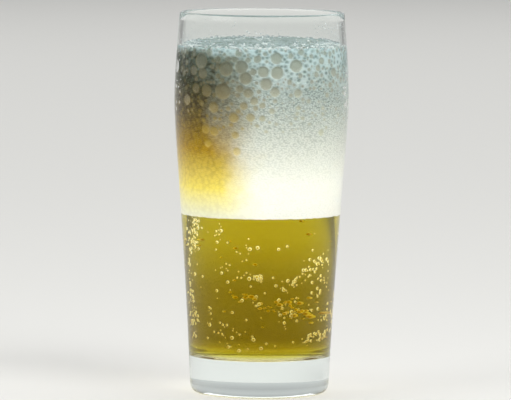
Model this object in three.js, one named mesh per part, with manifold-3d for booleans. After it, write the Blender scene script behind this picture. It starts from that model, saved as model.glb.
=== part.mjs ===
// A pint of beer: a tumbler with a heavy base, leaning flanks and a belly below its drawn-in
// mouth, filled with pale beer to just under half its height and with a tall head of foam
// above that. Millimetres, +Z up, origin at the centre of the foot.
import * as THREE from "three";
import { mergeVertices } from "three/addons/utils/BufferGeometryUtils.js";
import Module from "manifold-3d";

const wasm = await Module();
wasm.setup();

// Glass, outside
const GLASS_HEIGHT = 172;
const FOOT_RADIUS = 31.5; // the flank's radius where it meets the rounded foot
const FOOT_ROUND = 6; // height of the rounded foot
const STAND_OUTER = 27.5; // the flat ring that the glass stands on
const STAND_INNER = 23.5;
const PUNT_DEPTH = 1.4; // hollow under the foot
const PUNT_FLATNESS = 0.7; // share of the punt's radius that stays nearly level
const FLANK_LEAN = 0.049; // radius gained for each millimetre of height, at the foot
const FLANK_SWELL = 0.000175; // how the lean grows with height
const MOUTH_RADIUS = 37.2; // the neck's own line at the rim
const NECK_LEAN = 0.09; // radius lost for each millimetre of height, in the neck
const BELLY_SOFTNESS = 1.28; // how far the belly rounds off the corner of flank and neck

// Glass, inside
const FOOT_WALL = 2.7; // wall thickness at the bottom of the cavity
const RIM_WALL = 1.8;
const FLOOR_HEIGHT = 16.5; // thickness of the heavy base
const FLOOR_ROUND = 6; // round between floor and wall

// Contents
const FIT_GAP = 0.3; // clearance between neighbouring solids
const BEER_LEVEL = 81.5;
const FOAM_WALL_LEVEL = 157; // where the foam meets the wall
const FOAM_CROWN = 3; // how far the middle of the foam stands above that
const CROWN_POWER = 5; // flat in the middle, falling away near the wall
const SWELL_HEIGHT = 0.45; // gentle unevenness of the foam's top
const SWELL_ACROSS = 7; // lengths of its waves, for one radian, across, front to back
const SWELL_DEEP = 9; // and along the diagonal
const SWELL_DIAGONAL = 11;
const SWELL_START = 1; // radians by which the waves are off the axis

// Large bubbles of the foam, pressed flat against the wall. Those that face the front, each
// with its degrees to the right of the front, its height and its radius:
const FRONT_POCKETS = [
  [-46, 151, 3.1],
  [-25, 148, 3],
  [-14, 149, 2.7],
  [1, 147, 2.4],
  [10.5, 146.5, 2.8],
  [24, 149.5, 2.8],
  [-44, 145.5, 2.1],
  [-11, 144, 2.6],
  [3, 141.5, 2.6],
  [-40, 138, 2.4],
  [-27, 138, 3.3],
  [-9, 137.5, 2],
  [9, 138, 2.1],
  [-5, 134, 1.7],
  [-34, 130.7, 2.2],
  [-19, 126.5, 2.1],
];

// and the others, which are scattered all round
const POCKET_COUNT = 23;
const POCKET_LARGEST = 3.1;
const POCKET_SMALLEST = 1.5;
const POCKET_UNEVENNESS = 0.35; // share of its size that a pocket may lack
const POCKET_TOP_MARGIN = 5; // below the foam's edge
const POCKET_BAND = 44; // height of the zone that has large bubbles
const POCKET_CROWDING = 1.4; // above 1, more of them lie near the top
const POCKET_SPACING = 0.3; // foam left between one and the next
const POCKET_SINK = 0.35; // centre below the wall's surface, as a share of the radius

// Bubbles that stand on the foam's top, most of them close to the wall
const DOME_COUNT = 28;
const DOME_LARGEST = 2;
const DOME_SMALLEST = 0.9;
const DOMES_AT_WALL = 22;
const DOME_STRAY = 0.5; // share of the step between domes at the wall that one may be off
const DOME_SINK = 0.35; // centre below the foam's top, as a share of the radius

// Facets
const TURN_STEPS = 48; // flats around the glass
const WALL_STEP = 12; // height of one band of the wall
const ROUND_STEPS = 5; // flats in a rounded corner
const TOP_STEPS = 8; // rings on the foam's top
const BUBBLE_DETAIL = 1; // cuts along each edge of a bubble's 20 faces
const SAME_POINT = 1e-3; // points closer than this are one

// Steps that never fall into line, for even spreads that look unordered
const GOLDEN_ANGLE = Math.PI * (3 - Math.sqrt(5));
const SIZE_STEP = 0.7549;
const PLACE_STEP = 0.5698;

const { lerp, degToRad } = THREE.MathUtils;

// The share between 0 and 1 that step number i lands on.
function spread(i, step) {
  return (i * step) % 1;
}

// Profile of the glass

// The flank widens upwards, the neck narrows, and a soft corner joins them at the belly.
function outerRadius(z) {
  const rise = z - FOOT_ROUND;
  const flank = FOOT_RADIUS + FLANK_LEAN * rise + FLANK_SWELL * rise * rise;
  const neck = MOUTH_RADIUS + NECK_LEAN * (GLASS_HEIGHT - z);
  return (flank + neck - Math.hypot(flank - neck, 2 * BELLY_SOFTNESS)) / 2;
}

function wallThickness(z) {
  return lerp(FOOT_WALL, RIM_WALL, (z - FLOOR_HEIGHT) / (GLASS_HEIGHT - FLOOR_HEIGHT));
}

// Radius of the cavity, with the round where its wall runs into the floor.
function cavityRadius(z) {
  const below = Math.max(0, FLOOR_HEIGHT + FLOOR_ROUND - z) / FLOOR_ROUND;
  const round = FLOOR_ROUND * (1 - Math.sqrt(Math.max(0, 1 - below * below)));
  return outerRadius(z) - wallThickness(z) - round;
}

// Heights from one level to another in even bands.
function wallLevels(from, to) {
  const bands = Math.ceil(Math.abs(to - from) / WALL_STEP);
  return Array.from({ length: bands + 1 }, (_, i) => lerp(from, to, i / bands));
}

// Heights up the round above the floor, closer together where it is flat.
function floorRoundLevels() {
  return Array.from({ length: ROUND_STEPS }, (_, i) => {
    const angle = (Math.PI / 2) * (i / ROUND_STEPS);
    return FLOOR_HEIGHT + FLOOR_ROUND * (1 - Math.cos(angle));
  });
}

// Points on the cavity's wall, drawn in by a gap, for what fills it.
function cavityPoints(levels, gap) {
  return levels.map((z) => new THREE.Vector2(cavityRadius(z) - gap, z));
}

// Solids of revolution and the joining of solids

function turned(profile) {
  return new THREE.LatheGeometry(profile, TURN_STEPS).rotateX(Math.PI / 2);
}

function solidFrom(geometry) {
  const bare = geometry.clone();
  bare.deleteAttribute("normal");
  bare.deleteAttribute("uv");
  const merged = mergeVertices(bare, SAME_POINT);
  const mesh = new wasm.Mesh({
    numProp: 3,
    vertProperties: merged.attributes.position.array,
    triVerts: new Uint32Array(merged.index.array),
  });
  return new wasm.Manifold(mesh);
}

function geometryFrom(solid) {
  const mesh = solid.getMesh();
  const geometry = new THREE.BufferGeometry();
  geometry.setAttribute("position", new THREE.BufferAttribute(mesh.vertProperties, mesh.numProp));
  geometry.setIndex(new THREE.BufferAttribute(mesh.triVerts, 1));
  geometry.computeVertexNormals();
  return geometry;
}

// The glass: punt, standing ring, rounded foot, outer wall, lip, inner wall and floor

function glassGeometry() {
  const lipRadius = RIM_WALL / 2;
  const lipHeight = GLASS_HEIGHT - lipRadius;
  const roundTop = FLOOR_HEIGHT + FLOOR_ROUND;
  const path = new THREE.Path();
  path.moveTo(0, PUNT_DEPTH);
  path.quadraticCurveTo(STAND_INNER * PUNT_FLATNESS, PUNT_DEPTH, STAND_INNER, 0);
  path.lineTo(STAND_OUTER, 0);
  path.quadraticCurveTo(FOOT_RADIUS, 0, outerRadius(FOOT_ROUND), FOOT_ROUND);
  wallLevels(FOOT_ROUND, lipHeight).forEach((z) => path.lineTo(outerRadius(z), z));
  path.absarc(outerRadius(lipHeight) - lipRadius, lipHeight, lipRadius, 0, Math.PI, false);
  cavityPoints(wallLevels(lipHeight, roundTop), 0).forEach((p) => path.lineTo(p.x, p.y));
  cavityPoints(floorRoundLevels().reverse(), 0).forEach((p) => path.lineTo(p.x, p.y));
  path.lineTo(0, FLOOR_HEIGHT);
  return turned(withoutRepeats(path.getPoints(ROUND_STEPS)));
}

// A path repeats the point where a curve follows a line.
function withoutRepeats(points) {
  return points.filter((p, i) => i === 0 || p.distanceTo(points[i - 1]) > SAME_POINT);
}

// The beer: a body that follows floor and wall up to its level

function beerGeometry() {
  const wall = [
    ...floorRoundLevels(),
    ...wallLevels(FLOOR_HEIGHT + FLOOR_ROUND, BEER_LEVEL - FIT_GAP),
  ];
  const side = cavityPoints(wall, FIT_GAP);
  side.slice(0, ROUND_STEPS).forEach((p) => (p.y += FIT_GAP));
  const bottom = new THREE.Vector2(0, FLOOR_HEIGHT + FIT_GAP);
  const top = new THREE.Vector2(0, BEER_LEVEL - FIT_GAP);
  return turned([bottom, ...side, top]);
}

// The foam: a tall head with a crowned, uneven top, pockets along the wall and domes on top

function foamRadius(z) {
  return cavityRadius(z) - FIT_GAP;
}

function foamTop(radius) {
  const share = radius / foamRadius(FOAM_WALL_LEVEL);
  return FOAM_WALL_LEVEL + FOAM_CROWN * (1 - share ** CROWN_POWER);
}

// Height that the foam's top gains or loses at a place, nothing at the wall.
function foamSwell(x, y) {
  const share = Math.hypot(x, y) / foamRadius(FOAM_WALL_LEVEL);
  const crossed = Math.sin(x / SWELL_ACROSS + SWELL_START) * Math.cos(y / SWELL_DEEP);
  const slanted = Math.sin((x - y) / SWELL_DIAGONAL);
  return SWELL_HEIGHT * (crossed + slanted) * (1 - share ** 2);
}

function foamBody() {
  const side = cavityPoints(wallLevels(BEER_LEVEL, FOAM_WALL_LEVEL), FIT_GAP);
  const rimRadius = foamRadius(FOAM_WALL_LEVEL);
  const top = Array.from({ length: TOP_STEPS }, (_, i) => {
    const radius = rimRadius * (1 - ((i + 1) / TOP_STEPS) ** 2);
    return new THREE.Vector2(radius, foamTop(radius));
  });
  const body = turned([new THREE.Vector2(0, BEER_LEVEL), ...side, ...top]);
  const place = body.attributes.position;
  for (let i = 0; i < place.count; i++) {
    if (place.getZ(i) > FOAM_WALL_LEVEL) {
      place.setZ(i, place.getZ(i) + foamSwell(place.getX(i), place.getY(i)));
    }
  }
  return solidFrom(body);
}

// A round bubble at an angle, a distance from the axis and a height.
function bubble(radius, angle, distance, z) {
  const ball = new THREE.IcosahedronGeometry(radius, BUBBLE_DETAIL);
  ball.rotateZ(angle);
  ball.translate(distance * Math.cos(angle), distance * Math.sin(angle), z);
  return solidFrom(ball);
}

function frontPockets() {
  return FRONT_POCKETS.map(([degrees, z, radius]) => ({ radius, z, angle: degToRad(degrees - 90) }));
}

// Large bubbles all round the wall, biggest near the top.
function scatteredPockets() {
  return Array.from({ length: POCKET_COUNT }, (_, i) => {
    const share = (i + 0.5) / POCKET_COUNT;
    const size = 1 - POCKET_UNEVENNESS * spread(i, SIZE_STEP);
    const radius = lerp(POCKET_LARGEST, POCKET_SMALLEST, share) * size;
    const z = FOAM_WALL_LEVEL - POCKET_TOP_MARGIN - POCKET_BAND * share ** POCKET_CROWDING;
    return { radius, z, angle: i * GOLDEN_ANGLE };
  });
}

// Width of the foam between two pockets, along the wall.
function foamBetween(a, b) {
  const turn = Math.atan2(Math.sin(a.angle - b.angle), Math.cos(a.angle - b.angle));
  return Math.hypot(turn * foamRadius(a.z), a.z - b.z) - a.radius - b.radius;
}

// A scattered pocket stays out where one that faces the front is in its way.
function wallPockets() {
  const front = frontPockets();
  const free = scatteredPockets().filter((pocket) =>
    front.every((other) => foamBetween(pocket, other) > POCKET_SPACING),
  );
  return [...front, ...free].map(({ radius, z, angle }) =>
    bubble(radius, angle, foamRadius(z) - POCKET_SINK * radius, z),
  );
}

// Bubbles on the foam's top: a ring of them at the wall and a few out on the crown.
function topDomes() {
  return Array.from({ length: DOME_COUNT }, (_, i) => {
    const atWall = i < DOMES_AT_WALL;
    const radius = lerp(DOME_SMALLEST, DOME_LARGEST, spread(i, SIZE_STEP) ** 2);
    const reach = foamRadius(FOAM_WALL_LEVEL) - radius - FIT_GAP;
    const distance = atWall ? reach : reach * Math.sqrt(spread(i, PLACE_STEP));
    const ringPlace = i + DOME_STRAY * spread(i, PLACE_STEP);
    const ringAngle = (2 * Math.PI * ringPlace) / DOMES_AT_WALL;
    const angle = atWall ? ringAngle : i * GOLDEN_ANGLE;
    const swell = foamSwell(distance * Math.cos(angle), distance * Math.sin(angle));
    return bubble(radius, angle, distance, foamTop(distance) + swell - DOME_SINK * radius);
  });
}

function foamGeometry() {
  const pocketed = wallPockets().reduce((body, pocket) => body.subtract(pocket), foamBody());
  const domed = topDomes().reduce((body, dome) => body.add(dome), pocketed);
  return geometryFrom(domed);
}

// The pieces and their finishes

function piece(name, geometry, finish) {
  const mesh = new THREE.Mesh(geometry, new THREE.MeshStandardMaterial(finish));
  mesh.name = name;
  return mesh;
}

const pint = new THREE.Group();
pint.add(
  piece("glass", glassGeometry(), {
    color: 0xdfeceb,
    roughness: 0.03,
    metalness: 0,
    transparent: true,
    opacity: 0.3,
  }),
  piece("beer", beerGeometry(), {
    color: 0xd1ad1f,
    roughness: 0.05,
    metalness: 0,
    transparent: true,
    opacity: 0.8,
  }),
  piece("foam", foamGeometry(), { color: 0xf4f1e2, roughness: 0.7, metalness: 0 }),
);

export default pint;
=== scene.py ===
import math
import random

import bpy
import numpy as np
from mathutils import Matrix, Vector, noise


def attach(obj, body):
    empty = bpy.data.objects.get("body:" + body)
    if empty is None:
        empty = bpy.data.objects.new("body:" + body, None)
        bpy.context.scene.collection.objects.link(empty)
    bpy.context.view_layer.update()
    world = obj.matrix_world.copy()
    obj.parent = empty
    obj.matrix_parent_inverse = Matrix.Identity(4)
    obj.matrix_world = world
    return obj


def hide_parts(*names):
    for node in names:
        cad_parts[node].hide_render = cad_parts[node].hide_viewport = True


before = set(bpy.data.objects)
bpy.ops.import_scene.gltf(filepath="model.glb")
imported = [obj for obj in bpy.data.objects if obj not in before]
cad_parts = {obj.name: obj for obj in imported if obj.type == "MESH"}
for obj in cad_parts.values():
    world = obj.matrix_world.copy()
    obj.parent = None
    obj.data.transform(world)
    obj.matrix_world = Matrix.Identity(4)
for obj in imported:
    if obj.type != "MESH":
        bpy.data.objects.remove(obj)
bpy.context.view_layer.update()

MM = 0.001
FRONT = -90  # direction of the viewer, in degrees from +X

# Glass, in millimetres
GLASS_HEIGHT = 172
FOOT_RADIUS = 31.5  # the flank's radius where it meets the rounded foot
FOOT_ROUND = 6  # height of the rounded foot
STAND_OUTER = 27.5  # the flat ring that the glass stands on
STAND_INNER = 23.5
PUNT_DEPTH = 1.4  # hollow under the foot
PUNT_FLATNESS = 0.7  # share of the punt's radius that stays nearly level
FLANK_LEAN = 0.049  # radius gained for each millimetre of height, at the foot
FLANK_SWELL = 0.000175  # how the lean grows with height
MOUTH_RADIUS = 37.2  # the neck's own line at the rim
NECK_LEAN = 0.09  # radius lost for each millimetre of height, in the neck
BELLY_SOFTNESS = 1.28  # how far the belly rounds off the corner of flank and neck
FOOT_WALL = 2.7  # wall thickness at the bottom of the cavity
RIM_WALL = 1.8
FLOOR_HEIGHT = 16.5  # thickness of the heavy base
FLOOR_ROUND = 6  # round between floor and wall

# Contents
BEER_LEVEL = 81.5
BEER_REACH = 0.12  # how far the beer reaches into the glass, so that no air shows between
FOAM_REACH = 0.2
FOAM_DIP = 0.5  # how far the foam's underside is sunk in the beer
FOAM_WALL_LEVEL = 157  # where the foam meets the wall
FOAM_CROWN = 3  # how far the middle of the foam stands above that
CROWN_POWER = 5  # flat in the middle, falling away near the wall
SWELL_HEIGHT = 0.45  # gentle unevenness of the foam's top
SWELL_ACROSS = 7  # lengths of its waves, for one radian
SWELL_DEEP = 9
SWELL_DIAGONAL = 11
SWELL_START = 1  # radians by which the waves are off the axis

# Large bubbles of the foam against the wall: degrees to the right of the front, height, radius
FRONT_POCKETS = [
    (-46, 151, 3.1),
    (-25, 148, 3),
    (-14, 149, 2.7),
    (1, 147, 2.4),
    (10.5, 146.5, 2.8),
    (24, 149.5, 2.8),
    (-44, 145.5, 2.1),
    (-11, 144, 2.6),
    (3, 141.5, 2.6),
    (-40, 138, 2.4),
    (-27, 138, 3.3),
    (-9, 137.5, 2),
    (9, 138, 2.1),
    (-5, 134, 1.7),
    (-34, 130.7, 2.2),
    (-19, 126.5, 2.1),
]
POCKET_COUNT = 23  # and those scattered all round
POCKET_LARGEST = 3.1
POCKET_SMALLEST = 1.5
POCKET_UNEVENNESS = 0.35  # share of its size that a pocket may lack
POCKET_TOP_MARGIN = 5  # below the foam's edge
POCKET_BAND = 44  # height of the zone that has large bubbles
POCKET_CROWDING = 1.4  # above 1, more of them lie near the top
POCKET_SPACING = 0.3  # foam left between one and the next
POCKET_OPENING = 1.04  # radius of its flat window on the glass, as a share of the bubble's
POCKET_DEPTH = 0.3  # of a hollow, as a share of its radius
POCKET_FLATNESS = 4  # a higher power gives a flatter floor and steeper sides
WINDOW_EDGE = 0.5  # width of the soft edge of its window

# Finer bubbles, which the solid leaves out: those seen in front, given like the large ones, and
# a scatter that fills the gaps between
FRONT_SMALL_POCKETS = [
    (-53, 146.6, 1.9),
    (-50, 138.7, 1.9),
    (-22, 139.5, 1.3),
    (-19, 152.4, 1.3),
    (-15, 139.3, 1.6),
    (-12, 131.7, 1.6),
    (-9.5, 152, 1.1),
    (-4, 130.8, 1.1),
    (-3, 152.6, 1.7),
    (0.6, 132, 1.3),
    (0.6, 126.3, 1.3),
    (4, 136.4, 1.5),
    (7, 129.6, 1.3),
    (10, 153, 2.6),
    (19, 142.3, 1.2),
    (27, 145, 1.1),
    (36, 153.6, 1.1),
    (40, 145.4, 1.3),
    (45, 151.4, 1.5),
    (53, 144.8, 1.3),
    (53, 140.5, 1.3),
    (-41, 121.1, 2),
    (-34, 120.2, 2),
    (-18, 118.7, 1.5),
    (-17, 111.4, 1.7),
]
SMALL_POCKET_TRIES = 1500
SMALL_POCKET_LARGEST = 1.7
SMALL_POCKET_SMALLEST = 0.55
SMALL_POCKET_RARITY = 1.5  # above 1, small ones outnumber large ones
SMALL_POCKET_BAND = 36
SMALL_POCKET_CROWDING = 1.7
SMALL_POCKET_SHRINK = 0.55  # share of its size that the lowest one lacks

# Open bubbles on the foam's top
PIT_COUNT = 90
PIT_LARGEST = 1.0
PIT_SMALLEST = 0.45
PIT_RARITY = 2
PIT_CROWDING = 3  # above 1, more of them lie near the wall
PITS_INWARD = 0.6  # share of the way from the wall to the middle that has any
PIT_EDGE = 0.4  # width of the soft edge of its window, as a share of its radius

# The foam's fine cells, and how uneven its edges are
CELL_WIDTH = 2.8  # wider than they are tall
CELL_HEIGHT = 1.5
CELL_STEEPNESS = 2.5  # how soon a cell is at its full depth, away from its walls
CELL_RELIEF = 0.22
TOP_RELIEF = 0.45  # the bubbly skin of the foam's top
EDGE_WAVER = 0.3  # unevenness of the line where foam meets beer
EDGE_WAVES = 2  # size of its waves
EDGE_DEPTH = 2  # how far up it is felt
RIM_WAVER = 0.9  # unevenness of the foam's upper edge, along the wall
RIM_WAVES = 3
RIM_DEPTH = 6  # how far down and in from that edge it is felt

# The foam's zones
COARSE_FROM = 92  # levels between which fine cream turns into coarse bubbles
COARSE_TO = 146
GOLD_SIDE = 200  # direction of the painted golden light, standing for light through the beer that falls on the foam, in degrees from +X
GOLD_LOW_WIDTH = 54  # degrees to either side of that, near the beer
GOLD_HIGH_WIDTH = 49  # and from this level up
GOLD_HIGH_LEVEL = 132
GOLD_IN_WINDOWS = 8  # degrees by which it reaches further in the large bubbles
GOLD_FULL_LEVEL = 112
GOLD_AT_TOP = 0.92  # share of it that is left near the foam's edge
GOLD_TOP_MARGIN = 5  # below that edge, where it ends
GOLD_WAVES = [(14, 0.22), (3, 0.06)]  # sizes of the waves in its border, and their strength
GOLD_WAVE_HEIGHT = 10  # how far they shift it up or down, at full strength
GOLD_SOFTNESS_LOW = 0.25  # share of its width over which it fades towards the front
GOLD_SOFTNESS_HIGH = 0.55  # and from the high level up
GOLD_SOFTNESS_REAR = 0.6

# Bubbles that stand on the foam's top, most of them close to the wall
DOME_COUNT = 28
DOME_LARGEST = 2
DOME_SMALLEST = 0.9
DOME_RARITY = 2
DOMES_AT_WALL = 22
DOME_WALL_GAP = 0.6
DOME_STRAY = 0.5  # share of the step between domes at the wall that one may be off
DOME_SINK = 0.35  # centre below the foam's top, as a share of the radius

# Small film bubbles on the foam's top, besides the domes
FILM_COUNT = 320
FILM_LARGEST = 1.5
FILM_SMALLEST = 0.35
FILM_RARITY = 3
FILM_RING = 5  # width of the ring at the wall that has most of them
FILM_IN_RING = 0.7  # share of them that is sure to lie there
FILM_THICKNESS = 1  # as deep, away from the wall, as it is wide

# Steps that never fall into line, for even spreads that look unordered
GOLDEN_ANGLE = math.pi * (3 - math.sqrt(5))
SIZE_STEP = 0.7549
PLACE_STEP = 0.5698

# Bubbles that cling to the glass in the beer, in strings: degrees to the right of the front and
# level where a string starts, the same where it ends, how far bubbles stray from it, how many
BEER_BUBBLE_STRINGS = [
    (-56, 81, -65, 68, 2, 84),
    (-68, 67, -73, 52, 1.2, 18),
    (-75, 50, -64, 33, 1.3, 38),
    (-77, 42, -70, 26, 1.2, 24),
    (-33, 79, -36, 67, 1.2, 10),
    (-36, 58, 4, 53.5, 1.1, 20),
    (-28, 63, -2, 70, 2, 11),
    (17, 49, 62, 63, 1.8, 54),
    (55, 56, 67, 50, 1.8, 14),
    (36, 26, 79, 29, 1.3, 50),
    (-46, 40, -45, 32, 0.7, 8),
    (-50, 32, -5, 22, 4, 26),
    (5, 42, 40, 34, 3.5, 14),
    (0, 50, 360, 50, 18, 190),
]
BUBBLE_RARITY = 2
BEER_BUBBLES_FROM = 20.5  # the lowest level that has any
BEER_BUBBLE_LARGEST = 0.9
BEER_BUBBLE_SMALLEST = 0.28
BEER_BUBBLE_THICKNESS = 0.9  # a little flattened towards the wall

# More such strings round the back, in no order
REAR_STRINGS = 10
REAR_STRING_BUBBLES = 26
REAR_FROM = -90  # degrees to the right of the front
REAR_TO = -270
REAR_LOWEST = 24
REAR_HIGHEST = 74
REAR_SLOPE = 12  # most that a string rises or falls
REAR_SHORTEST = 10  # in degrees round the glass
REAR_LONGEST = 40
REAR_STRAY = 1.5

# Traces of foam on the empty glass above, in strings like the beer's bubbles
TRACE_STRINGS = [
    (0, 165, 6, 160, 1.5, 26),
    (40, 166, 86, 167, 0.8, 60),
    (-85, 160, -25, 160, 1.5, 40),
    (20, 161, 100, 161, 1.6, 46),
    (0, 162, 360, 162, 2.5, 120),
]
TRACES_FROM = 157.5
TRACES_TO = 169
TRACE_LARGEST = 0.42
TRACE_SMALLEST = 0.12
TRACE_THICKNESS = 0.3
EDGE_LACE = [(0, 157, 360, 157, 0.4, 420)]  # small bubbles along the foam's edge, likewise
LACE_LARGEST = 0.75
LACE_SMALLEST = 0.2

SEED = 4

# Patterns in the materials, by their real sizes
GLASS_WAVES = 30  # faint waves in the pressed glass
GLASS_WAVE_HEIGHT = 0.4
TRACE_PATCHES = 1.5  # thick and thin places in the dried foam
FOAM_GLOW = 1.5  # how deep light spreads in the foam
CELL_BUMP = 0.3  # height of the finest cells' walls

# The foam's drawn cells: width, how many times wider than tall, and the distances from a cell's
# middle, in widths, where the pattern is 0 and 1
ROUND_CELLS = (2.0, 1.2, 0.15, 0.65)  # dim in the middle, a painted shade that makes each bubble look round, in bright foam near the top
FINE_CELLS = (1.0, 1.8, 0.8, 0.3)  # bright in dim walls, the bright middles partly painted highlights on the cells' relief, flattened by the foam's weight
GOLD_CELLS = (1.9, 1.1, 0.8, 0.35)  # the same in the golden patch, bright middles partly painted highlights
FOAM_PATCHES = 7  # noise that makes their zones uneven
PATCH_HEIGHT = 30  # how far it can lower the border between fine cells and round ones
ROUND_FROM = 148  # levels between which fine ones turn into round ones, if it didn't
ROUND_TO = 160
PALE_STRENGTH = (0.12, 0.85)  # how strongly cells show where the foam is fine, and coarse
GOLD_STRENGTH = (0.08, 0.5)  # the same in the golden patch, between these levels
GOLD_CELLS_FROM = 84
GOLD_CELLS_TO = 124
TOP_STRENGTH = (0.15, 0.75)  # the same on the foam's top, between these values of the noise
TOP_PATCHES_FROM = 0.35
TOP_PATCHES_TO = 0.65
WET_ROUGHNESS = 0.35  # against the glass
TOP_ROUGHNESS = 0.8

# Mesh
TURN_STEPS = 160
WALL_STEP = 3
ARC_STEPS = 8
FOAM_COLUMNS = 90  # before the foam's faces are split
FOAM_ROWS = 50
FOAM_RINGS = 14
FOAM_SPLITS = 2  # times that they are split in four
BUBBLE_FINENESS = 2  # 80 faces on a small bubble
SMOOTH_ANGLE = 40  # degrees; a sharper edge stays sharp
MERGE_DISTANCE = 0.002
LEVEL_TOLERANCE = 0.001  # what lies higher than this above the foam's edge is its top
WALL_TOLERANCE = 0.5  # what lies no further than this from the wall is its side
TINY = 1e-6  # in place of a distance of nothing, for a division

# Stage, in metres and watts: each soft lamp's place, width, power, and whether glass shows it
FLOOR_SIZE = 60
LAMPS = {
    "ceiling": ((0, 1.4, 3.2), 7.0, 165, True),
    "key": ((0.9, -1.1, 1.1), 0.9, 18, False),
    "fill": ((-1.3, -0.8, 0.8), 0.9, 11, False),
}
LAMP_AIM = (0, 0, 0.09)  # the middle of the drink
GLASS_BOUNCES = 32  # times that light may turn in the glass before it is lost

# The viewer, from the outline of the glass in the picture
PICTURE_WIDTH = 511
FOCAL_PIXELS = 5558
SENSOR_WIDTH = 36
CAMERA_DISTANCE = 2.5
CAMERA_HEIGHT = 0.2855
CAMERA_PITCH = 4.54  # degrees down
CAMERA_ROLL = 0.45  # degrees by which the picture is off the level
CAMERA_ASIDE = -0.00237
CAMERA_REACH = 100


# Small sums


def lerp(low, high, share):
    return low + (high - low) * share


def spread(i, step):
    """The share between 0 and 1 that step number i lands on."""
    return (i * step) % 1


def smooth_step(low, high, value):
    share = np.clip((value - low) / (high - low), 0, 1)
    return share * share * (3 - 2 * share)


def slow_noise(places, size):
    """A soft noise between -1 and 1 whose lumps have about this size."""
    return np.array([noise.noise(Vector(place) / size) for place in places])


def turn_of(degrees):
    """The angle from +X of a place so many degrees to the right of the front."""
    return math.radians(degrees + FRONT)


def place_at(turn, distance, z):
    return distance * math.cos(turn), distance * math.sin(turn), z


# Profile of the glass


def outer_radius(z):
    """The flank widens upwards, the neck narrows, and a soft corner joins them at the belly."""
    rise = z - FOOT_ROUND
    flank = FOOT_RADIUS + FLANK_LEAN * rise + FLANK_SWELL * rise * rise
    neck = MOUTH_RADIUS + NECK_LEAN * (GLASS_HEIGHT - z)
    return (flank + neck - np.hypot(flank - neck, 2 * BELLY_SOFTNESS)) / 2


def wall_thickness(z):
    return lerp(FOOT_WALL, RIM_WALL, (z - FLOOR_HEIGHT) / (GLASS_HEIGHT - FLOOR_HEIGHT))


def cavity_radius(z):
    """Radius of the cavity, with the round where its wall runs into the floor."""
    below = np.maximum(0, FLOOR_HEIGHT + FLOOR_ROUND - z) / FLOOR_ROUND
    corner = FLOOR_ROUND * (1 - np.sqrt(np.maximum(0, 1 - below * below)))
    return outer_radius(z) - wall_thickness(z) - corner


def levels(low, high, step):
    count = math.ceil(abs(high - low) / step)
    return np.linspace(low, high, count + 1)


def curve_points(start, control, end):
    """Points on the curve that leaves start towards control and reaches end from there."""
    shares = np.linspace(0, 1, ARC_STEPS + 1)
    ends = np.outer((1 - shares) ** 2, start) + np.outer(shares**2, end)
    return [tuple(p) for p in ends + np.outer(2 * shares * (1 - shares), control)]


def cavity_points(heights, reach):
    return [(cavity_radius(z) + reach, z) for z in heights]


def floor_round_heights():
    """Heights up the round above the floor, closer together where it is flat."""
    angles = np.linspace(0, math.pi / 2, ARC_STEPS + 1)
    return FLOOR_HEIGHT + FLOOR_ROUND * (1 - np.cos(angles))


# Modelling


def edit_new(name):
    """Names the primitive just added and opens it for editing."""
    piece = bpy.context.object
    piece.name = name
    piece.data.name = name
    bpy.ops.object.mode_set(mode="EDIT")
    return piece


def turned(name, profile, steps):
    """A closed shape of revolution: a point drawn out along the profile, and that line spun."""
    path = [(r * MM, z * MM) for r, z in profile]
    bpy.ops.object.select_all(action="DESELECT")
    bpy.ops.mesh.primitive_plane_add(size=MM, location=(0, 0, 0))
    piece = edit_new(name)
    bpy.ops.mesh.merge(type="CENTER")
    bpy.ops.transform.translate(value=(path[0][0], 0, path[0][1]))
    for (r, z), (next_r, next_z) in zip(path, path[1:]):
        move = {"value": (next_r - r, 0, next_z - z)}
        bpy.ops.mesh.extrude_vertices_move(TRANSFORM_OT_translate=move)
    bpy.ops.mesh.select_all(action="SELECT")
    bpy.ops.mesh.spin(steps=steps, angle=2 * math.pi, center=(0, 0, 0), axis=(0, 0, 1))
    bpy.ops.mesh.select_all(action="SELECT")
    bpy.ops.mesh.remove_doubles(threshold=MERGE_DISTANCE * MM)
    bpy.ops.mesh.normals_make_consistent(inside=False)
    bpy.ops.object.mode_set(mode="OBJECT")
    bpy.ops.object.shade_smooth_by_angle(angle=math.radians(SMOOTH_ANGLE))
    return piece


def places_of(piece):
    """The piece's vertices in millimetres, one row each."""
    flat = np.empty(len(piece.data.vertices) * 3, np.float32)
    piece.data.vertices.foreach_get("co", flat)
    return flat.reshape(-1, 3).astype(float) / MM


def put_places(piece, places):
    piece.data.vertices.foreach_set("co", (places * MM).astype(np.float32).ravel())
    piece.data.update()


def put_mask(piece, name, values):
    """Keeps one number for each vertex, for the material to read."""
    mask = piece.data.attributes.new(name, "FLOAT", "POINT")
    mask.data.foreach_set("value", np.asarray(values, np.float32))


def belongs(piece, node=None):
    """Every piece moves with the one body; a piece that stands for a solid hides it."""
    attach(piece, "root")
    if node:
        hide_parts(node)


# The glass


def glass_profile():
    lip = RIM_WALL / 2
    lip_height = GLASS_HEIGHT - lip
    lip_middle = outer_radius(lip_height) - lip
    lip_turns = np.linspace(0, math.pi, ARC_STEPS + 1)
    foot_top = (outer_radius(FOOT_ROUND), FOOT_ROUND)
    punt = ((0, PUNT_DEPTH), (STAND_INNER * PUNT_FLATNESS, PUNT_DEPTH), (STAND_INNER, 0))
    return [
        *curve_points(*punt),
        *curve_points((STAND_OUTER, 0), (FOOT_RADIUS, 0), foot_top),
        *[(outer_radius(z), z) for z in levels(FOOT_ROUND, lip_height, WALL_STEP)[1:-1]],
        *[(lip_middle + lip * math.cos(a), lip_height + lip * math.sin(a)) for a in lip_turns],
        *cavity_points(levels(lip_height, FLOOR_HEIGHT + FLOOR_ROUND, WALL_STEP)[1:], 0),
        *cavity_points(floor_round_heights()[-2::-1], 0),
        (0, FLOOR_HEIGHT),
    ]


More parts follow.
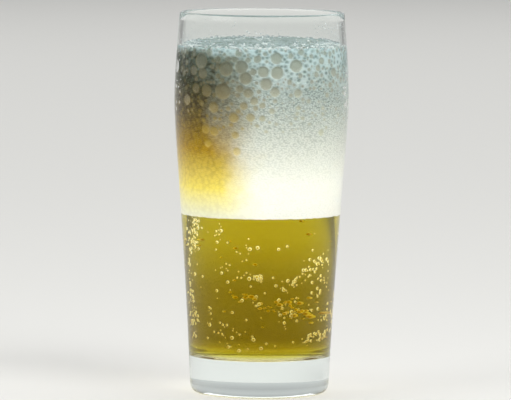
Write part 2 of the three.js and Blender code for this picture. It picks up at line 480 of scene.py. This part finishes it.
def make_glass():
    glass = turned("tumbler", glass_profile(), TURN_STEPS)
    glass.data.materials.append(clear_glass())
    glass.visible_shadow = False  # lamps reach what is inside
    belongs(glass, "glass")


# The beer


def make_beer():
    """A body that follows floor and wall, and reaches just into the glass and the foam."""
    walls = levels(FLOOR_HEIGHT + FLOOR_ROUND, BEER_LEVEL, WALL_STEP)[1:]
    heights = [*floor_round_heights(), *walls]
    side = [(r, z - BEER_REACH * (z < FLOOR_HEIGHT + FLOOR_ROUND))
            for r, z in cavity_points(heights, BEER_REACH)]
    profile = [(0, FLOOR_HEIGHT - BEER_REACH), *side, (0, BEER_LEVEL)]
    beer = turned("beer_body", profile, TURN_STEPS)
    beer.data.materials.append(pale_beer())
    beer.visible_shadow = False
    belongs(beer, "beer")


# The foam's form


def foam_radius(z):
    return cavity_radius(z) + FOAM_REACH


def foam_top(radius):
    share = np.minimum(1, radius / foam_radius(FOAM_WALL_LEVEL))
    return FOAM_WALL_LEVEL + FOAM_CROWN * (1 - share**CROWN_POWER)


def foam_swell(x, y):
    """Height that the foam's top gains or loses at a place, nothing at the wall."""
    share = np.minimum(1, np.hypot(x, y) / foam_radius(FOAM_WALL_LEVEL))
    crossed = np.sin(x / SWELL_ACROSS + SWELL_START) * np.cos(y / SWELL_DEEP)
    slanted = np.sin((x - y) / SWELL_DIAGONAL)
    return SWELL_HEIGHT * (crossed + slanted) * (1 - share**2)


def rim_waver(places, radius):
    """Height that the foam gains or loses along its upper edge."""
    in_or_down = np.maximum(foam_radius(FOAM_WALL_LEVEL) - radius, FOAM_WALL_LEVEL - places[:, 2])
    return RIM_WAVER * slow_noise(places, RIM_WAVES) * (1 - smooth_step(0, RIM_DEPTH, in_or_down))


def edge_waver(places):
    """The same along the line where it meets the beer."""
    above = places[:, 2] - BEER_LEVEL + FOAM_DIP
    return EDGE_WAVER * slow_noise(places, EDGE_WAVES) * (1 - smooth_step(0, EDGE_DEPTH, above))


def cell_depth(x, y, z):
    """0 on the walls between the foam's fine cells and 1 in their middles."""
    spot = Vector((x / CELL_WIDTH, y / CELL_WIDTH, z / CELL_HEIGHT))
    near, second = noise.voronoi(spot)[0][:2]
    return min(1, (second - near) * CELL_STEEPNESS)


def foam_profile():
    side = np.linspace(BEER_LEVEL - FOAM_DIP, FOAM_WALL_LEVEL, FOAM_ROWS + 1)
    rim = foam_radius(FOAM_WALL_LEVEL)
    inner = rim * (1 - np.linspace(0, 1, FOAM_RINGS + 1)[1:])
    return [
        (0, BEER_LEVEL - FOAM_DIP),
        (rim / 2, BEER_LEVEL - FOAM_DIP),
        *[(foam_radius(z), z) for z in side],
        *[(r, foam_top(r)) for r in inner],
    ]


# The foam's bubbles at the wall and on its top


def seen_pockets(pockets):
    return [(turn_of(degrees), z, r) for degrees, z, r in pockets]


def scattered_pockets():
    """Places and sizes of large bubbles all round the wall, biggest near the top."""
    pockets = []
    for i in range(POCKET_COUNT):
        share = (i + 0.5) / POCKET_COUNT
        size = 1 - POCKET_UNEVENNESS * spread(i, SIZE_STEP)
        z = FOAM_WALL_LEVEL - POCKET_TOP_MARGIN - POCKET_BAND * share**POCKET_CROWDING
        pockets.append((i * GOLDEN_ANGLE, z, lerp(POCKET_LARGEST, POCKET_SMALLEST, share) * size))
    return pockets


def small_pockets(dice):
    """Bubbles between the large ones, in no order, and smaller the lower they lie."""
    for _ in range(SMALL_POCKET_TRIES):
        share = dice.random() ** SMALL_POCKET_CROWDING
        largeness = dice.random() ** SMALL_POCKET_RARITY
        size = lerp(SMALL_POCKET_SMALLEST, SMALL_POCKET_LARGEST, largeness)
        z = FOAM_WALL_LEVEL - size - SMALL_POCKET_BAND * share
        yield dice.uniform(0, 2 * math.pi), z, size * (1 - SMALL_POCKET_SHRINK * share)


def along_wall(angle, other_angle, radius):
    turn = angle - other_angle
    return np.arctan2(np.sin(turn), np.cos(turn)) * radius


def clear_of(pocket, others):
    angle, z, size = pocket
    other_angle, other_z, other_size = np.array(others).T
    apart = np.hypot(along_wall(angle, other_angle, foam_radius(z)), z - other_z)
    return bool((apart - size - other_size > POCKET_SPACING).all())


def wall_pockets(dice):
    """Large bubbles as in the solid, then smaller ones wherever they fit between."""
    front = seen_pockets(FRONT_POCKETS)
    placed = front + [p for p in scattered_pockets() if clear_of(p, front)]
    for pocket in [*seen_pockets(FRONT_SMALL_POCKETS), *small_pockets(dice)]:
        if clear_of(pocket, placed):
            placed.append(pocket)
    return placed


def bowls(apart):
    """Depth of a round hollow, 1 at most, at a distance from its middle in radii."""
    return np.sqrt(np.clip(1 - apart**POCKET_FLATNESS, 0, 1))


def window_mask(apart, edge):
    """1 in a bubble's window and 0 outside, passing a half at its rim."""
    return np.clip((1 - apart) / edge + 0.5, 0, 1)


def foam_hollows(angle, radius, z, dice):
    """Depth of the bubbles' hollows on the foam's wall, and a mask of their windows."""
    hollow = np.zeros(len(z))
    window = np.zeros(len(z))
    for turn, height, size in wall_pockets(dice):
        opening = POCKET_OPENING * size
        apart = np.hypot(along_wall(angle, turn, radius), z - height) / opening
        hollow = np.maximum(hollow, POCKET_DEPTH * size * bowls(apart))
        window = np.maximum(window, window_mask(apart, WINDOW_EDGE / opening))
    return hollow, window


def top_pits(x, y, dice):
    """The same for open bubbles on the foam's top, most of them near the wall."""
    hollow = np.zeros(len(x))
    window = np.zeros(len(x))
    for _ in range(PIT_COUNT):
        size = lerp(PIT_SMALLEST, PIT_LARGEST, dice.random() ** PIT_RARITY)
        turn = dice.uniform(0, 2 * math.pi)
        reach = foam_radius(FOAM_WALL_LEVEL) - size
        distance = reach - (reach * PITS_INWARD) * dice.random() ** PIT_CROWDING
        apart = np.hypot(x - distance * math.cos(turn), y - distance * math.sin(turn)) / size
        hollow = np.maximum(hollow, POCKET_DEPTH * size * bowls(apart))
        window = np.maximum(window, window_mask(apart, PIT_EDGE))
    return hollow, window


# The foam


def gold_light_share(angle, z, window, places):
    """How much painted golden light, standing for light through the beer, lies on the foam: a patch
    at the left, narrower above.
    """
    waver = sum(slow_noise(places, size) * strength for size, strength in GOLD_WAVES)
    turn = np.degrees(along_wall(angle, math.radians(GOLD_SIDE), 1))
    narrowing = smooth_step(BEER_LEVEL, GOLD_HIGH_LEVEL, z)
    half_width = lerp(GOLD_LOW_WIDTH, GOLD_HIGH_WIDTH, narrowing) + GOLD_IN_WINDOWS * window
    front_softness = lerp(GOLD_SOFTNESS_LOW, GOLD_SOFTNESS_HIGH, narrowing)
    softness = np.where(turn > 0, front_softness, GOLD_SOFTNESS_REAR)
    beside = 1 - smooth_step(1 - softness, 1 + softness, np.abs(turn) / half_width + waver)
    fading = smooth_step(GOLD_FULL_LEVEL, FOAM_WALL_LEVEL, z + GOLD_WAVE_HEIGHT * waver)
    below_edge = FOAM_WALL_LEVEL - z + GOLD_WAVE_HEIGHT * waver
    return beside * lerp(1, GOLD_AT_TOP, fading) * smooth_step(0, GOLD_TOP_MARGIN, below_edge)


def foam_body():
    """The foam's plain body, in faces small enough for its bubbles."""
    foam = turned("foam_head", foam_profile(), FOAM_COLUMNS)
    split = foam.modifiers.new("split", "SUBSURF")
    split.subdivision_type = "SIMPLE"
    split.levels = split.render_levels = FOAM_SPLITS
    bpy.ops.object.modifier_apply(modifier=split.name)
    return foam


def shape_foam(foam, dice):
    """Gives the plain body its bubbles and uneven edges, and masks of its zones."""
    places = places_of(foam)
    x, y, z = places.T
    radius = np.hypot(x, y)
    angle = np.arctan2(y, x)
    on_top = z > FOAM_WALL_LEVEL + LEVEL_TOLERANCE
    on_side = ~on_top & (radius > foam_radius(z) - WALL_TOLERANCE)
    radius = np.where(on_side, foam_radius(z), radius)
    cells = np.array([cell_depth(*place) for place in places])
    hollow, window = foam_hollows(angle, radius, z, dice)
    pit, pit_window = top_pits(x, y, dice)
    window = np.where(on_side, window, np.where(on_top, pit_window, 0))
    coarse = smooth_step(COARSE_FROM, COARSE_TO, z)
    inward = np.where(on_side, hollow + CELL_RELIEF * cells * coarse * (1 - window), 0)
    outward = (radius - inward) / np.maximum(np.hypot(x, y), TINY)
    x, y = x * outward, y * outward
    rim = rim_waver(places, radius)
    top_lift = foam_top(radius) - z + foam_swell(x, y) + TOP_RELIEF * (cells - 1) - pit + rim
    lift = np.where(on_top, top_lift, (edge_waver(places) + rim) * on_side)
    put_places(foam, np.column_stack((x, y, z + lift)))
    put_mask(foam, "window", window)
    # mask of the painted golden light, none on the top
    put_mask(foam, "gold", np.where(on_top, 0, gold_light_share(angle, z, window, places)))
    put_mask(foam, "top", on_top)


def make_foam(dice):
    foam = foam_body()
    shape_foam(foam, dice)
    foam.data.materials.append(beer_foam())
    belongs(foam, "foam")


# Small bubbles and specks


def bubble_form():
    """Vertices and faces of one small round bubble."""
    bpy.ops.object.select_all(action="DESELECT")
    bpy.ops.mesh.primitive_ico_sphere_add(subdivisions=BUBBLE_FINENESS, radius=1)
    ball = bpy.context.object
    corners = np.array([v.co for v in ball.data.vertices])
    faces = np.array([p.vertices for p in ball.data.polygons])
    bpy.data.objects.remove(ball)
    return corners, faces


def joined_bubbles(name, bubbles):
    """One mesh of many bubbles: each a place, a radius, and its thickness away from the wall."""
    corners, faces = bubble_form()
    points = []
    for (x, y, z), radius, thickness in bubbles:
        turn = math.atan2(y, x)
        across = np.array([thickness * radius, radius, radius]) * corners
        cos, sin = math.cos(turn), math.sin(turn)
        spun = across @ np.array([[cos, sin, 0], [-sin, cos, 0], [0, 0, 1]])
        points.append(spun + (x, y, z))
    mesh = bpy.data.meshes.new(name)
    shifts = np.arange(len(points))[:, None, None] * len(corners)
    mesh.from_pydata(np.concatenate(points) * MM, [], (faces + shifts).reshape(-1, 3).tolist())
    mesh.polygons.foreach_set("use_smooth", np.ones(len(mesh.polygons), bool))
    piece = bpy.data.objects.new(name, mesh)
    bpy.context.scene.collection.objects.link(piece)
    # masks by which the materials paint light: a bright reflection round a gas bubble's rim, and
    # shade at a film bubble's crown
    put_mask(piece, "rim", np.tile(np.hypot(corners[:, 1], corners[:, 2]), len(points)))
    put_mask(piece, "crown", np.tile(corners[:, 2], len(points)))
    return piece


def on_strings(strings, smallest, largest, dice):
    """Angle, level and radius of bubbles that stray a little from strings along the wall."""
    for start, start_level, end, end_level, stray, count in strings:
        for _ in range(count):
            share = dice.random()
            z = lerp(start_level, end_level, share) + dice.gauss(0, stray)
            aside = dice.gauss(0, stray) / cavity_radius(z)
            turn = turn_of(lerp(start, end, share)) + aside
            yield turn, z, lerp(smallest, largest, dice.random() ** BUBBLE_RARITY)


def rear_strings(dice):
    """Strings of bubbles round the back, in no order."""
    for _ in range(REAR_STRINGS):
        start = dice.uniform(REAR_FROM, REAR_TO)
        level = dice.uniform(REAR_LOWEST, REAR_HIGHEST)
        end_level = level + dice.uniform(-REAR_SLOPE, REAR_SLOPE)
        end = start - dice.uniform(REAR_SHORTEST, REAR_LONGEST)
        yield start, level, end, end_level, REAR_STRAY, REAR_STRING_BUBBLES


def make_beer_bubbles(dice):
    """Gas bubbles that cling to the inside of the wall, wholly in the beer."""
    bubbles = []
    strings = [*BEER_BUBBLE_STRINGS, *rear_strings(dice)]
    for turn, z, radius in on_strings(strings, BEER_BUBBLE_SMALLEST, BEER_BUBBLE_LARGEST, dice):
        if BEER_BUBBLES_FROM < z < BEER_LEVEL - FOAM_DIP - EDGE_WAVER - radius:
            place = place_at(turn, cavity_radius(z) - radius, z)
            bubbles.append((place, radius, BEER_BUBBLE_THICKNESS))
    piece = joined_bubbles("beer_bubbles", bubbles)
    piece.data.materials.append(gas_bubble())
    belongs(piece)


def make_traces(dice):
    """Dried specks of foam on the empty glass above the head, and lace along the foam's edge."""
    specks = on_strings(TRACE_STRINGS, TRACE_SMALLEST, TRACE_LARGEST, dice)
    specks = [speck for speck in specks if TRACES_FROM < speck[1] < TRACES_TO]
    lace = on_strings(EDGE_LACE, LACE_SMALLEST, LACE_LARGEST, dice)
    bubbles = [(place_at(turn, cavity_radius(z), z), radius, TRACE_THICKNESS)
               for turn, z, radius in [*specks, *lace]]
    piece = joined_bubbles("foam_traces", bubbles)
    piece.data.materials.append(foam_trace())
    belongs(piece)


def top_domes():
    """The bubbles on the foam's top that the solid has."""
    for i in range(DOME_COUNT):
        radius = lerp(DOME_SMALLEST, DOME_LARGEST, spread(i, SIZE_STEP) ** DOME_RARITY)
        reach = cavity_radius(FOAM_WALL_LEVEL) - DOME_WALL_GAP - radius
        if i < DOMES_AT_WALL:
            distance = reach
            turn = 2 * math.pi * (i + DOME_STRAY * spread(i, PLACE_STEP)) / DOMES_AT_WALL
        else:
            distance = reach * math.sqrt(spread(i, PLACE_STEP))
            turn = i * GOLDEN_ANGLE
        yield turn, distance, radius


def small_domes(dice):
    """Smaller ones, most of them in a ring at the wall."""
    for _ in range(FILM_COUNT):
        radius = lerp(FILM_SMALLEST, FILM_LARGEST, dice.random() ** FILM_RARITY)
        reach = cavity_radius(FOAM_WALL_LEVEL) - radius
        zone = FILM_RING if dice.random() < FILM_IN_RING else reach
        distance = reach - zone * dice.random()
        yield dice.uniform(0, 2 * math.pi), distance, radius


def make_film_bubbles(dice):
    """Bubbles that stand on the foam's top under a thin clear film."""
    bubbles = []
    for turn, distance, radius in [*top_domes(), *small_domes(dice)]:
        x, y, top = place_at(turn, distance, foam_top(distance))
        z = top + foam_swell(x, y) - DOME_SINK * radius
        bubbles.append(((x, y, z), radius, FILM_THICKNESS))
    piece = joined_bubbles("film_bubbles", bubbles)
    piece.data.materials.append(bubble_film())
    belongs(piece)


# Tools for materials


def linear(hex_colour):
    """An sRGB hex colour as linear red, green, blue and full opacity."""
    parts = [int(hex_colour[i:i + 2], 16) / 255 for i in (1, 3, 5)]
    bent = [c / 12.92 if c <= 0.04045 else ((c + 0.055) / 1.055) ** 2.4 for c in parts]
    return (*bent, 1)


def new_material(name):
    material = bpy.data.materials.new(name)
    material.use_nodes = True
    material.node_tree.nodes.clear()
    return material, material.node_tree


def add(tree, kind, inputs=None, **settings):
    """Adds a node: its settings, and each input's link or plain value."""
    node = tree.nodes.new(kind)
    for name, value in settings.items():
        setattr(node, name, value)
    for name, value in (inputs or {}).items():
        if isinstance(value, bpy.types.NodeSocket):
            tree.links.new(value, node.inputs[name])
        else:
            node.inputs[name].default_value = value
    return node


def ramp(tree, value, stops):
    """The colour of a value on a ramp, whose stops are a place and an sRGB hex colour each."""
    node = add(tree, "ShaderNodeValToRGB", {"Fac": value})
    elements = node.color_ramp.elements
    for _ in stops[len(elements):]:
        elements.new(0.5)
    for element, (place, colour) in zip(elements, stops):
        element.position = place
        element.color = linear(colour)
    return node.outputs["Color"]


def rescaled(tree, value, low, high, new_low=0, new_high=1, **settings):
    """A value between low and high, brought between two new ones and kept there."""
    scale = {"From Min": low, "From Max": high, "To Min": new_low, "To Max": new_high}
    return add(tree, "ShaderNodeMapRange", {"Value": value, **scale}, **settings).outputs["Result"]


def worked_out(tree, operation, *values):
    """A number from others, by one step of arithmetic."""
    node = add(tree, "ShaderNodeMath", dict(enumerate(values)), operation=operation)
    return node.outputs["Value"]


def mixed(tree, factor, a, b):
    """A number between two others."""
    return add(tree, "ShaderNodeMix", {"Factor": factor, "A": a, "B": b}).outputs["Result"]


def blended(tree, factor, a, b, way="MIX"):
    """A colour between two others, or the first with the second laid over it in some way."""
    parts = {"Factor": factor, "A": a, "B": b}
    node = add(tree, "ShaderNodeMix", parts, data_type="RGBA", blend_type=way)
    return node.outputs["Result"]


def mask_of(tree, name):
    return add(tree, "ShaderNodeAttribute", attribute_name=name).outputs["Fac"]


def spot_and_height(tree):
    """A place in the part's own frame, and its height, in metres."""
    spot = add(tree, "ShaderNodeTexCoord").outputs["Object"]
    return spot, add(tree, "ShaderNodeSeparateXYZ", {"Vector": spot}).outputs["Z"]


def noise_of(tree, spot, size, **inputs):
    """A soft noise between 0 and 1, for a size of its lumps in millimetres."""
    node = add(tree, "ShaderNodeTexNoise", {"Vector": spot, "Scale": 1 / (size * MM), **inputs})
    return node.outputs["Fac"]


# Materials


def clear_glass():
    """Pressed soda-lime glass, fire-polished: bright, faintly green through its depth."""
    material, tree = new_material("soda_lime_glass")
    spot, _ = spot_and_height(tree)
    waves = add(tree, "ShaderNodeBump", {
        "Height": noise_of(tree, spot, GLASS_WAVES, Detail=1), "Strength": 0.05,
        "Distance": GLASS_WAVE_HEIGHT * MM})
    shader = add(tree, "ShaderNodeBsdfPrincipled", {
        "Base Color": linear("#fbfdfc"), "Transmission Weight": 1, "IOR": 1.5, "Roughness": 0.0,
        "Normal": waves.outputs[0], "Specular Tint": linear("#7a7a7a")})
    body = add(tree, "ShaderNodeVolumeAbsorption", {"Color": linear("#bcede7"), "Density": 2})
    add(tree, "ShaderNodeOutputMaterial", {
        "Surface": shader.outputs[0], "Volume": body.outputs[0]})
    return material


def pale_beer():
    """Filtered pale lager: clear, and golden by the depth of liquid that light crosses, with
    painted shade that darkens it low down.
    """
    material, tree = new_material("pale_lager")
    _, height = spot_and_height(tree)
    rise = rescaled(tree, height, FLOOR_HEIGHT * MM, BEER_LEVEL * MM)
    # painted shade: darker low down, where less light from the foam reaches the liquid, white at
    # its top and pale again at the very bottom
    tone = ramp(tree, rise, [
        (0.0, "#fdf6d8"), (0.1, "#9c8e54"), (0.5, "#b6aa6c"), (0.85, "#f8f3cf"), (1.0, "#ffffff")])
    shader = add(tree, "ShaderNodeBsdfPrincipled", {
        "Base Color": tone, "Transmission Weight": 1, "IOR": 1.34, "Roughness": 0.0,
        "Specular Tint": linear("#202020")})
    body = add(tree, "ShaderNodeVolumeAbsorption", {"Color": linear("#f9f400"), "Density": 100})
    add(tree, "ShaderNodeOutputMaterial", {
        "Surface": shader.outputs[0], "Volume": body.outputs[0]})
    return material


def foam_ground(tree, rise, gold):
    """The foam's colour by height, cream white below and grey above, or golden, with painted light
    in both.
    """
    # partly the foam's own tone, finer and whiter low down, and partly painted light: brightest
    # just above the beer, where light comes up through it, and a painted cool grey-teal tint at the
    # top
    white = ramp(tree, rise, [
        (0.0, "#fffdf2"), (0.2, "#fbfaef"), (0.45, "#e0e2d8"), (0.75, "#bdc8c3"), (1.0, "#b4c9ca")])
    # painted golden light, standing for light through the beer, bright low down and turning to dark
    # olive painted shade near the top of that side
    golden = ramp(tree, rise, [
        (0.0, "#ffffe6"), (0.17, "#ffed78"), (0.4, "#b8960e"), (0.6, "#655410"), (0.8, "#3e4330"),
        (1.0, "#374843")])
    return blended(tree, gold, white, golden)


def cell_pattern(tree, spot, width, flatness, zero_at, one_at):
    """One kind of cell, as numbers from 0 to 1."""
    flat = add(tree, "ShaderNodeMapping", {"Vector": spot, "Scale": (1, 1, flatness)})
    cells = add(tree, "ShaderNodeTexVoronoi", {
        "Vector": flat.outputs[0], "Scale": 1 / (width * MM)})
    return rescaled(tree, cells.outputs["Distance"], zero_at, one_at)


def foam_cells(tree, spot, height, patches, gold, top):
    """The pattern of the foam's cells, and their tone: round, fine, golden, or froth on top; dim
    middles are painted shade, and bright middles are partly painted highlights.
    """
    round_painted_shade = cell_pattern(tree, spot, *ROUND_CELLS)
    fine = cell_pattern(tree, spot, *FINE_CELLS)
    golden = cell_pattern(tree, spot, *GOLD_CELLS)
    uneven_height = worked_out(tree, "MULTIPLY_ADD", patches, PATCH_HEIGHT * MM, height)
    fineness = rescaled(tree, uneven_height, ROUND_FROM * MM, ROUND_TO * MM, 1, 0)
    froth = worked_out(tree, "MULTIPLY", round_painted_shade, fine)
    pattern = mixed(tree, top, mixed(tree, fineness, round_painted_shade, fine), froth)
    pale_tone = blended(tree, pattern, linear("#9aa39c"), linear("#ffffff"))
    gold_tone = blended(tree, golden, linear("#a48f58"), linear("#fffbe6"))
    return pattern, blended(tree, gold, pale_tone, gold_tone)


def cell_strength(tree, height, patches, gold, top):
    """How strongly the cells show: more where the foam is coarse, and in patches on its top."""
    pale = rescaled(tree, height, COARSE_FROM * MM, COARSE_TO * MM, *PALE_STRENGTH,
                    interpolation_type="SMOOTHSTEP")
    golden = rescaled(tree, height, GOLD_CELLS_FROM * MM, GOLD_CELLS_TO * MM, *GOLD_STRENGTH)
    side = worked_out(tree, "MAXIMUM", pale, worked_out(tree, "MULTIPLY", gold, golden))
    bubbly = rescaled(tree, patches, TOP_PATCHES_FROM, TOP_PATCHES_TO, *TOP_STRENGTH)
    return mixed(tree, top, side, bubbly)


def with_windows(tree, colour, rise, window, gold):
    """A bubble's window on the glass is smooth, darker and warmer, with a thin bright edge: the
    darker pane is painted shade of the bubble's dim inside, and the bright edge is a painted
    highlight.
    """
    # painted shade: the bubble's inside, seen through its clear wall, drawn darker the higher it
    # lies; the golden pane also carries the painted golden light
    shaded_pane = ramp(tree, rise, [
        (0.2, "#f4f0e0"), (0.5, "#c0c0aa"), (0.8, "#96988a"), (1.0, "#8f9a90")])
    shaded_golden_pane = ramp(tree, rise, [
        (0.2, "#f2d158"), (0.5, "#a08420"), (0.75, "#685e3c"), (1.0, "#585e50")])
    paned = blended(tree, window, colour, blended(tree, gold, shaded_pane, shaded_golden_pane))
    # painted highlight along the window's thin edge
    edge = ramp(tree, window, [(0.0, "#000000"), (0.35, "#5a5a5a"), (0.75, "#000000")])
    edge_highlight = blended(tree, gold, linear("#f1f6f3"), linear("#dcbc50"))
    return blended(tree, edge, paned, edge_highlight)


def beer_foam():
    """Wet foam: grey-white bubble walls above, cream white and smooth where it is fine below, with
    painted light and shade in its colour.
    """
    material, tree = new_material("wet_beer_foam")
    spot, height = spot_and_height(tree)
    rise = rescaled(tree, height, BEER_LEVEL * MM, FOAM_WALL_LEVEL * MM)
    patches = noise_of(tree, spot, FOAM_PATCHES, Detail=2)
    gold, window, top = [mask_of(tree, name) for name in ("gold", "window", "top")]
    pattern, tone = foam_cells(tree, spot, height, patches, gold, top)
    strength = cell_strength(tree, height, patches, gold, top)
    celled = blended(tree, strength, foam_ground(tree, rise, gold), tone, "MULTIPLY")
    windowed = with_windows(tree, celled, rise, window, gold)
    # painted shade: the foam's top is drawn darker than its side
    colour = blended(tree, top, windowed, linear("#cdc9c5"), "MULTIPLY")
    beside_windows = worked_out(tree, "SUBTRACT", 1, window)
    relief = add(tree, "ShaderNodeBump", {
        "Height": pattern, "Strength": worked_out(tree, "MULTIPLY", strength, beside_windows),
        "Distance": CELL_BUMP * MM})
    shader = add(tree, "ShaderNodeBsdfPrincipled", {
        "Base Color": colour, "Roughness": mixed(tree, top, WET_ROUGHNESS, TOP_ROUGHNESS),
        "IOR": 1.33, "Specular IOR Level": 0.15, "Normal": relief.outputs[0],
        "Subsurface Weight": 0.3, "Subsurface Radius": (1, 0.9, 0.7),
        "Subsurface Scale": FOAM_GLOW * MM})
    add(tree, "ShaderNodeOutputMaterial", {"Surface": shader.outputs[0]})
    return material


def gas_bubble():
    """Gas in beer: a bubble is golden in the middle and throws light back round its rim, which is
    painted as a bright reflection; it also glows a little, a painted glint.
    """
    material, tree = new_material("gas_bubble_in_beer")
    # painted reflection: pale and bright round the rim
    tone = ramp(tree, mask_of(tree, "rim"), [
        (0.0, "#8f7818"), (0.55, "#c9b03c"), (0.85, "#fffbd8")])
    # painted glint: the bubble glows in its own colour, though it is no lamp
    shader = add(tree, "ShaderNodeBsdfPrincipled", {
        "Base Color": tone, "Roughness": 0.15, "IOR": 1.33, "Emission Color": tone,
        "Emission Strength": 0.3})
    add(tree, "ShaderNodeOutputMaterial", {"Surface": shader.outputs[0]})
    return material


def bubble_film():
    """A film of beer over air: thick and pale round the bubble's foot, and dim at its crown, a
    painted shade of the bubble's inside seen through the clear film.
    """
    material, tree = new_material("thin_beer_film")
    # pale foot, the thick film; dim crown, painted shade
    tone = ramp(tree, mask_of(tree, "crown"), [
        (0.35, "#eef4f2"), (0.6, "#9fb0b0"), (1.0, "#748688")])
    shader = add(tree, "ShaderNodeBsdfPrincipled", {
        "Base Color": tone, "Roughness": 0.15, "IOR": 1.33, "Alpha": 0.45})
    add(tree, "ShaderNodeOutputMaterial", {"Surface": shader.outputs[0]})
    return material


def foam_trace():
    """Dried foam on glass: thin, white to grey and a little see-through."""
    material, tree = new_material("dried_foam")
    spot, _ = spot_and_height(tree)
    patches = noise_of(tree, spot, TRACE_PATCHES)
    tone = ramp(tree, patches, [(0.3, "#a4b3b2"), (0.65, "#eef3f1")])
    shader = add(tree, "ShaderNodeBsdfPrincipled", {
        "Base Color": tone, "Roughness": 0.5, "Alpha": 0.6})
    add(tree, "ShaderNodeOutputMaterial", {"Surface": shader.outputs[0]})
    return material


def pale_floor():
    """Pale matte board."""
    material, tree = new_material("pale_matte_board")
    shader = add(tree, "ShaderNodeBsdfPrincipled", {
        "Base Color": linear("#d9d8d4"), "Roughness": 0.8})
    add(tree, "ShaderNodeOutputMaterial", {"Surface": shader.outputs[0]})
    return material


# Stage


def make_floor():
    bpy.ops.object.select_all(action="DESELECT")
    bpy.ops.mesh.primitive_plane_add(size=FLOOR_SIZE, location=(0, 0, 0))
    floor = bpy.context.object
    floor.name = "floor"
    floor.data.materials.append(pale_floor())


def make_lamp(name, place, width, power, seen_in_glass):
    bpy.ops.object.light_add(type="AREA", location=place)
    lamp = bpy.context.object
    lamp.name = name
    lamp.data.shape = "SQUARE"
    lamp.data.size = width
    lamp.data.energy = power
    lamp.visible_transmission = seen_in_glass
    aim = Vector(LAMP_AIM) - Vector(place)
    lamp.rotation_euler = aim.to_track_quat("-Z", "Y").to_euler()


def make_surroundings():
    """A plain room, palest at eye level."""
    world = bpy.context.scene.world or bpy.data.worlds.new("studio")
    bpy.context.scene.world = world
    world.use_nodes = True
    tree = world.node_tree
    tree.nodes.clear()
    way = add(tree, "ShaderNodeTexCoord").outputs["Generated"]
    height = add(tree, "ShaderNodeSeparateXYZ", {"Vector": way}).outputs["Z"]
    tone = ramp(tree, height, [(0.0, "#d0d1d0"), (0.7, "#77797b")])
    glow = add(tree, "ShaderNodeBackground", {"Color": tone})
    add(tree, "ShaderNodeOutputWorld", {"Surface": glow.outputs[0]})


def make_lights():
    for name, lamp in LAMPS.items():
        make_lamp(name, *lamp)
    make_surroundings()


def make_camera():
    bpy.ops.object.camera_add(location=(CAMERA_ASIDE, -CAMERA_DISTANCE, CAMERA_HEIGHT))
    camera = bpy.context.object
    camera.name = "camera"
    tilt = Matrix.Rotation(math.radians(90 - CAMERA_PITCH), 4, "X")  # 90 looks level
    roll = Matrix.Rotation(math.radians(CAMERA_ROLL), 4, "Z")
    camera.rotation_euler = (tilt @ roll).to_euler()
    camera.data.sensor_width = SENSOR_WIDTH
    camera.data.lens = FOCAL_PIXELS / PICTURE_WIDTH * SENSOR_WIDTH
    camera.data.clip_end = CAMERA_REACH
    bpy.context.scene.camera = camera


def set_viewing():
    """Colours as they are, and light that gets through thick glass."""
    scene = bpy.context.scene
    scene.view_settings.view_transform = "Standard"
    scene.cycles.max_bounces = GLASS_BOUNCES
    scene.cycles.transmission_bounces = GLASS_BOUNCES
    scene.cycles.glossy_bounces = GLASS_BOUNCES


make_camera()
dice = random.Random(SEED)
make_glass()
make_beer()
make_foam(dice)
make_beer_bubbles(dice)
make_film_bubbles(dice)
make_traces(dice)
make_floor()
make_lights()
set_viewing()
